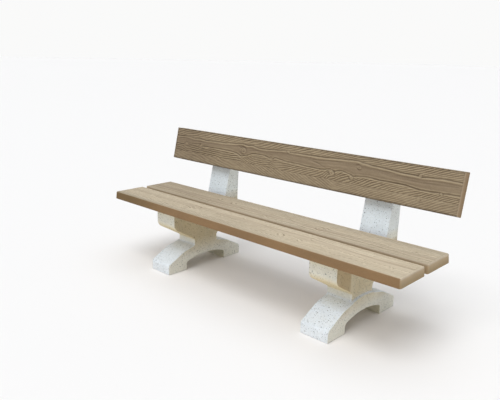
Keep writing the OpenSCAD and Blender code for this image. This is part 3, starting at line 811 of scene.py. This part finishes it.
def cast_stone(name, seed, tone, crest):
    """Pale cast stone with crushed aggregate, browner under the seat and warmer on its sides from painted shade, with
    painted light on the uprights and the foot's crest.
    """
    n = Nodes(name)
    at = n.mapped(n.coords(), (1, 1, 1), (seed * 1.7, seed * 0.9, seed * 0.3))
    cloud = n.noise(at, 9.0, 4.0, 0.6, 0.2)
    mottle = n.noise(at, 110.0, 4.0, 0.65)
    base = n.mix(n.ramp(cloud, [(0.30, 0.0), (0.70, 1.0)]), tuple(c * tone for c in lin(222, 226, 228)), tuple(c * tone for c in lin(236, 239, 241)))
    base = n.mix(n.math("MULTIPLY", n.ramp(mottle, [(0.35, 1.0), (0.60, 0.0)]), 0.30), base, lin(196, 195, 188))
    # crushed aggregate: pale grains with a few coloured ones
    cells = n.t.nodes.new("ShaderNodeTexVoronoi")
    n.put(cells.inputs["Vector"], at)
    cells.inputs["Scale"].default_value = 230.0
    pick = n.node("ShaderNodeSeparateColor", i0=cells.outputs["Color"])
    grain_shape = n.ramp(cells.outputs["Distance"], [(0.18, 1.0), (0.42, 0.0)])
    pale = n.math("MULTIPLY", n.ramp(pick, [(0.62, 0.0), (0.64, 1.0)]), grain_shape)
    base = n.mix(n.math("MULTIPLY", pale, 0.55), base, lin(240, 243, 243))
    tan = n.math("MULTIPLY", n.ramp(pick, [(0.10, 1.0), (0.12, 0.0)]), grain_shape)
    base = n.mix(n.math("MULTIPLY", tan, 0.50), base, lin(176, 162, 136))
    # dark specks, grey and brown, of uneven size
    for k, (scale, share, size, colour, strength) in enumerate(
        ((118.0, 0.12, 0.34, lin(84, 88, 88), 0.80), (90.0, 0.05, 0.30, lin(112, 96, 74), 0.80), (200.0, 0.26, 0.38, lin(66, 72, 76), 0.80))
    ):
        w = n.t.nodes.new("ShaderNodeTexVoronoi")
        n.put(w.inputs["Vector"], n.mapped(at, (1, 1, 1), (0.31 * k, 0.17 * k + 0.05, 0.23 * k)))
        w.inputs["Scale"].default_value = scale
        sep = n.t.nodes.new("ShaderNodeSeparateColor")
        n.put(sep.inputs[0], w.outputs["Color"])
        chosen = n.math("LESS_THAN", sep.outputs[0], share)
        reach = n.math("MULTIPLY", n.math("ADD", n.math("MULTIPLY", sep.outputs[1], 0.75), 0.35), size)
        spot = n.math("MULTIPLY", n.math("SUBTRACT", reach, w.outputs["Distance"]), 16.0, True)
        base = n.mix(n.math("MULTIPLY", n.math("MULTIPLY", spot, chosen), strength), base, colour)
    # painted shade: full under the seat, none on the foot, the uprights and faces that look up
    xyz = n.node("ShaderNodeSeparateXYZ", i0=n.coords())
    place = xyz.node.outputs
    facing = n.t.nodes.new("ShaderNodeNewGeometry").outputs["Normal"]
    tilt = n.node("ShaderNodeSeparateXYZ", i0=facing).node.outputs
    rise = n.math("MULTIPLY", n.math("SUBTRACT", place[2], 0.085), 1 / 0.10, True)
    cap = n.math("MULTIPLY", n.math("SUBTRACT", 0.40, place[2]), 1 / 0.03, True)
    level = n.math("SUBTRACT", 1.0, n.math("MULTIPLY", tilt[2], 2.2, True))
    edge = n.math("ADD", 0.55, n.math("MULTIPLY", n.noise(n.mapped(at, (1, 1, 0.35)), 14.0, 3.0, 0.6), 0.9))
    under = n.math("MULTIPLY", tilt[2], -1.4, True)
    cheek = n.math("MULTIPLY", n.math("SUBTRACT", n.math("ABSOLUTE", n.math("ADD", place[1], -0.008)), 0.1265), 1 / 0.006, True)
    side_on = n.math("MULTIPLY", n.math("SUBTRACT", n.math("ABSOLUTE", tilt[0]), 0.75), 6.0, True)
    shade = n.math("MULTIPLY", n.math("MULTIPLY", rise, cap), n.math("MULTIPLY", level, edge), True)
    base = n.mix(n.math("MULTIPLY", shade, 0.62), base, n.mix(1.0, base, (0.97, 0.86, 0.62), "MULTIPLY"))
    # painted warm bounce light: faces under the seat that look down turn yellow
    base = n.mix(n.math("MULTIPLY", n.math("MULTIPLY", rise, cap), under), base, n.mix(1.0, base, (0.92, 0.80, 0.58), "MULTIPLY"))
    # painted shade on the sides under the seat, darkest on the cheeks beside the recess; on the plain inner side the
    # cheeks fade into the neck
    outward = n.math("GREATER_THAN", n.math("MULTIPLY", tilt[0], place[0]), 0.0)
    soft = n.math("MULTIPLY", n.math("SUBTRACT", n.math("ABSOLUTE", n.math("ADD", place[1], -0.008)), 0.05), 1 / 0.14, True)
    cheek = n.math("ADD", n.math("MULTIPLY", cheek, outward), n.math("MULTIPLY", n.math("MULTIPLY", soft, 0.10), n.math("SUBTRACT", 1.0, outward)))
    base = n.mix(n.math("MULTIPLY", n.math("MULTIPLY", shade, cheek), n.math("MULTIPLY", side_on, 0.9)), base, n.mix(1.0, base, (0.70, 0.62, 0.52), "MULTIPLY"))
    base = n.mix(n.math("MULTIPLY", n.math("MULTIPLY", shade, side_on), 0.8), base, n.mix(1.0, base, (0.79, 0.74, 0.67), "MULTIPLY"))
    # painted shade on the inner sides under the seat
    inner_side_shade = n.math("MULTIPLY", n.math("MULTIPLY", rise, cap), n.math("MULTIPLY", side_on, n.math("SUBTRACT", 1.0, outward)))
    base = n.mix(n.math("MULTIPLY", inner_side_shade, 0.9), base, n.mix(1.0, base, (0.87, 0.85, 0.80), "MULTIPLY"))
    # painted shade just under the plank turns the bearer's front yellow along its top
    brow_shade = n.math("MULTIPLY", n.math("SUBTRACT", n.math("ADD", place[2], n.math("MULTIPLY", edge, 0.012)), 0.350), 1 / 0.03, True)
    brow_shade = n.math("MULTIPLY", n.math("MULTIPLY", brow_shade, cap), n.math("SUBTRACT", 1.0, side_on))
    base = n.mix(n.math("MULTIPLY", brow_shade, 0.85), base, n.mix(1.0, base, (0.97, 0.90, 0.68), "MULTIPLY"))
    # painted shade, dark and warm, inside the arch of the foot
    inside = n.math("MULTIPLY", n.math("SUBTRACT", 0.166, n.math("ABSOLUTE", n.math("ADD", place[1], -0.008))), 1 / 0.008, True)
    inside = n.math("MULTIPLY", inside, n.math("MULTIPLY", n.math("SUBTRACT", 0.084, place[2]), 1 / 0.006, True))
    inside = n.math("MULTIPLY", inside, n.math("SUBTRACT", 1.0, side_on))
    base = n.mix(n.math("MULTIPLY", inside, edge, True), base, n.mix(1.0, base, (0.74, 0.67, 0.50), "MULTIPLY"))
    # painted light: the uprights, above the seat, are the coolest and lightest, as in open sky light; elsewhere the
    # sides that face along the bench get a warm painted shade
    upright_light = n.math("MULTIPLY", n.math("SUBTRACT", place[2], 0.415), 1 / 0.03, True)
    along = n.math("MULTIPLY", n.math("SUBTRACT", n.math("ABSOLUTE", tilt[0]), 0.6), 2.5, True)
    warm = n.math("MULTIPLY", along, n.math("SUBTRACT", 0.9, n.math("MULTIPLY", upright_light, 0.55)))
    base = n.mix(warm, base, n.mix(1.0, base, (0.98, 0.92, 0.78), "MULTIPLY"))
    base = n.mix(upright_light, base, n.mix(1.0, base, (1.03, 1.06, 1.075), "MULTIPLY"))
    # painted light on the uprights' inner sides, against the backrest's shadow
    inner_upright_light = n.math("MULTIPLY", n.math("MULTIPLY", upright_light, along), n.math("SUBTRACT", 1.0, outward))
    base = n.mix(inner_upright_light, base, n.mix(1.0, base, (1.10, 1.10, 1.08), "MULTIPLY"))
    # painted light on the foot's crest in front of the neck, against the seat's shadow
    foot_top_light = n.math("MULTIPLY", n.math("MULTIPLY", n.math("SUBTRACT", tilt[2], 0.45), 6.0, True), n.math("MULTIPLY", n.math("SUBTRACT", place[2], 0.085), 1 / 0.03, True))
    foot_top_light = n.math("MULTIPLY", n.math("MULTIPLY", foot_top_light, n.math("MULTIPLY", n.math("SUBTRACT", 0.17, place[2]), 1 / 0.02, True)), crest)
    base = n.mix(foot_top_light, base, n.mix(1.0, base, (1.09, 1.12, 1.17), "MULTIPLY"))
    n.put(n.p.inputs["Base Color"], base)
    n.put(n.p.inputs["Roughness"], n.ramp(mottle, [(0.3, 0.78), (0.7, 0.92)]))
    n.p.inputs["Specular IOR Level"].default_value = 0.35
    pits = n.t.nodes.new("ShaderNodeTexVoronoi")
    n.put(pits.inputs["Vector"], n.mapped(at, (1, 1, 1), (0.7, 0.2, 0.4)))
    pits.inputs["Scale"].default_value = 120.0
    hole = n.ramp(pits.outputs["Distance"], [(0.02, 0.0), (0.22, 1.0)])
    height = n.math("ADD", n.math("MULTIPLY", n.noise(at, 420.0, 4.0, 0.7), 0.6), n.math("MULTIPLY", hole, 0.4))
    n.put(n.p.inputs["Normal"], n.bump(height, 0.55, 0.0009))
    return n.m


def mortar():
    n = Nodes("mortar_grey")
    c = n.noise(n.coords(), 70.0, 5.0, 0.7)
    col = n.mix(c, lin(150, 146, 136), lin(190, 186, 175))
    sand = n.node("ShaderNodeTexVoronoi", out=1, i0=n.coords(), Scale=480.0)
    grit = n.node("ShaderNodeSeparateColor", i0=sand)
    col = n.mix(n.math("MULTIPLY", n.ramp(grit, [(0.0, 1.0), (0.2, 0.0)]), 0.5), col, lin(96, 90, 80))
    n.put(n.p.inputs["Base Color"], col)
    n.put(n.p.inputs["Roughness"], n.ramp(c, [(0.2, 0.86), (0.8, 0.97)]))
    n.put(n.p.inputs["Normal"], n.bump(n.noise(n.coords(), 520.0, 4.0, 0.7), 0.8, 0.001))
    return n.m


def zinc():
    n = Nodes("zinc_plate")
    spangle = n.node("ShaderNodeTexVoronoi", out=1, i0=n.coords(), Scale=520.0)
    v = n.node("ShaderNodeSeparateColor", i0=spangle)
    cloud = n.noise(n.coords(), 90.0, 4.0, 0.6)
    col = n.mix(v, lin(150, 154, 158), lin(198, 202, 204))
    col = n.mix(n.math("MULTIPLY", n.ramp(cloud, [(0.5, 0.0), (0.8, 1.0)]), 0.6), col, lin(168, 160, 148))
    n.put(n.p.inputs["Base Color"], col)
    n.p.inputs["Metallic"].default_value = 0.9
    n.put(n.p.inputs["Roughness"], n.ramp(cloud, [(0.25, 0.34), (0.75, 0.58)]))
    n.put(n.p.inputs["Normal"], n.bump(n.noise(n.coords(), 1500.0, 3.0, 0.6), 0.25, 0.0002))
    return n.m


def bar_steel():
    n = Nodes("bar_steel")
    c = n.noise(n.coords(), 130.0, 5.0, 0.7)
    col = n.mix(n.ramp(c, [(0.35, 0.0), (0.65, 1.0)]), lin(74, 62, 56), lin(124, 82, 56))
    n.put(n.p.inputs["Base Color"], col)
    n.p.inputs["Metallic"].default_value = 0.35
    n.put(n.p.inputs["Roughness"], n.ramp(c, [(0.3, 0.6), (0.7, 0.88)]))
    n.put(n.p.inputs["Normal"], n.bump(n.noise(n.coords(), 700.0, 4.0, 0.7), 0.5, 0.0004))
    return n.m


# the seat planks' face and dark colours are paler than the backrest's though all three are one mix: the extra paleness
# is a painted sheen, as the seat tops show at a grazing view
SEAT = (lin(191, 175, 150), lin(174, 156, 130), lin(133, 103, 69), lin(168, 147, 118), 0.80, 0.40, 0.18)
# the backrest's side colour is darker than the seats': painted shade, for its lower edge that turns down out of the
# light
BACK = (lin(154, 136, 109), lin(134, 115, 90), lin(104, 84, 60), lin(150, 126, 98), 0.64, 0.50, 0.38)
wood_front = wood_concrete("wood_concrete_front", *SEAT, 1.0, 1)
wood_rear = wood_concrete("wood_concrete_rear", *SEAT, -1.0, 4)
wood_back = wood_concrete("wood_concrete_back", *BACK, 0.0, 7)
# the last argument sets the painted light on the foot's crest: none on the left pedestal, full on the right
stone_left, stone_right = cast_stone("cast_stone_left", 1, 0.965, 0.0), cast_stone("cast_stone_right", 2, 1.0, 1.0)
mortar_mat, zinc_mat, bar_mat = mortar(), zinc(), bar_steel()

# ---------------------------------------------------------------- the pieces
coarse = 1.0
for name, place, mat, seed in (
    ("front_seat_plank", on_front_seat, wood_front, 51),
    ("rear_seat_plank", on_rear_seat, wood_rear, 52),
):
    me = plank_mesh(name + "_cast", place, 3.8 * coarse, 2.4 * coarse, 6.8, 11.0, 5.0, 0.2, 0.7, seed)
    piece(name + "_cast", me, mat, [name])
me = plank_mesh("backrest_plank_cast", on_back, 3.2 * coarse, 1.9 * coarse, 2.2, 3.4, 1.6, 0.0, 0.0, 53)
piece("backrest_plank_cast", me, wood_back, ["backrest_plank"])

for side, tag, mat in ((-1, "left", stone_left), (1, "right", stone_right)):
    ob = piece(f"{tag}_pedestal_cast", pedestal_mesh(f"{tag}_pedestal_cast", side), mat, [f"{tag}_pedestal"])
    tools = []
    for s in (60.0, 140.0):
        tools.append(cutter(side * PED_X, s, 16.0, -100.0, -40.0, 0.0))
        tools.append(cutter(side * PED_X, s, 6.0, -60.0, 10.0, 0.0))
    cut(ob, tools)
    ob.data.set_sharp_from_angle(angle=math.radians(38))

for name in ("backrest_bolts", "backrest_washers", "backrest_sockets", "seat_dowels"):
    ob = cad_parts[name]
    ob.data.materials.clear()
    ob.data.materials.append(zinc_mat)
for name in ("backrest_bolts", "backrest_washers"):
    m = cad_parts[name].modifiers.new("edges", "BEVEL")
    m.width, m.segments, m.limit_method, m.angle_limit = 0.0004, 2, "ANGLE", math.radians(35)
for name in ("front_plank_rebar", "rear_plank_rebar", "backrest_rebar", "left_pedestal_rebar", "right_pedestal_rebar"):
    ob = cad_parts[name]
    ob.data.materials.clear()
    ob.data.materials.append(bar_mat)
for name in ("left_front_mortar_bed", "left_rear_mortar_bed", "right_front_mortar_bed", "right_rear_mortar_bed"):
    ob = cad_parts[name]
    ob.data.materials.clear()
    ob.data.materials.append(mortar_mat)

# ---------------------------------------------------------------- camera
cam_data = bpy.data.cameras.new("camera")
cam = bpy.data.objects.new("camera", cam_data)
bpy.context.scene.collection.objects.link(cam)
YAW, PITCH, ROLL = 0.757120694, 0.251798793, 0.0186880505
ca, sa, ce, se, cr, sr = math.cos(YAW), math.sin(YAW), math.cos(PITCH), math.sin(PITCH), math.cos(ROLL), math.sin(ROLL)
ahead = Vector((-sa * ce, ca * ce, -se))
right = Vector((ca, sa, 0.0))
over = right.cross(ahead)
right, over = right * cr + over * sr, over * cr - right * sr
cam.matrix_world = Matrix(
    (
        (right.x, over.x, -ahead.x, 2.00664),
        (right.y, over.y, -ahead.y, -2.24827),
        (right.z, over.z, -ahead.z, 1.27977),
        (0, 0, 0, 1),
    )
)
cam_data.sensor_fit, cam_data.sensor_width, cam_data.lens = "HORIZONTAL", 36.0, 40.963
cam_data.clip_start, cam_data.clip_end = 0.05, 100.0
bpy.context.scene.camera = cam

# ---------------------------------------------------------------- stage and light
n = 48
gx, gy = np.meshgrid(np.linspace(-90, 90, n), np.linspace(-90, 90, n), indexing="ij")
idx = np.arange(n * n).reshape(n, n)
floor_mesh = mesh_from(
    "floor",
    np.column_stack([gx.ravel(), gy.ravel(), np.zeros(n * n)]),
    np.stack([idx[:-1, :-1], idx[1:, :-1], idx[1:, 1:], idx[:-1, 1:]], -1).reshape(-1, 4),
    [],
)
floor = bpy.data.objects.new("floor", floor_mesh)
bpy.context.scene.collection.objects.link(floor)
fm = Nodes("floor_pale")
fm.p.inputs["Base Color"].default_value = (0.92, 0.868, 0.825, 1)
fm.p.inputs["Roughness"].default_value = 0.9
floor_mesh.materials.append(fm.m)

world = bpy.data.worlds.new("studio")
bpy.context.scene.world = world
world.use_nodes = True
wt = world.node_tree
bg = wt.nodes["Background"]
tc = wt.nodes.new("ShaderNodeTexCoord")
sep = wt.nodes.new("ShaderNodeSeparateXYZ")
wt.links.new(tc.outputs["Generated"], sep.inputs[0])
ramp = wt.nodes.new("ShaderNodeValToRGB")
wt.links.new(sep.outputs[2], ramp.inputs[0])
e = ramp.color_ramp.elements
e[0].position, e[0].color = 0.10, (0.955, 0.955, 0.95, 1)
e[1].position, e[1].color = 0.34, (0.37, 0.39, 0.41, 1)
wt.links.new(ramp.outputs[0], bg.inputs[0])
bg.inputs[1].default_value = 1.0


def softbox(name, at, spread, strength, colour):
    """A wide, far-off softbox in the direction of at."""
    d = bpy.data.lights.new(name, "SUN")
    d.angle, d.energy, d.color = math.radians(spread), strength, colour
    o = bpy.data.objects.new(name, d)
    bpy.context.scene.collection.objects.link(o)
    o.location = at
    o.rotation_mode = "QUATERNION"
    o.rotation_quaternion = (-Vector(at)).to_track_quat("-Z", "Y")
    return o


softbox("key", (0.6, -3.4, 6.0), 40, 1.62, (0.93, 0.985, 1.04))
softbox("top", (0.0, 0.4, 6.0), 70, 0.85, (0.91, 0.98, 1.05))

bpy.context.scene.view_settings.view_transform = "Standard"
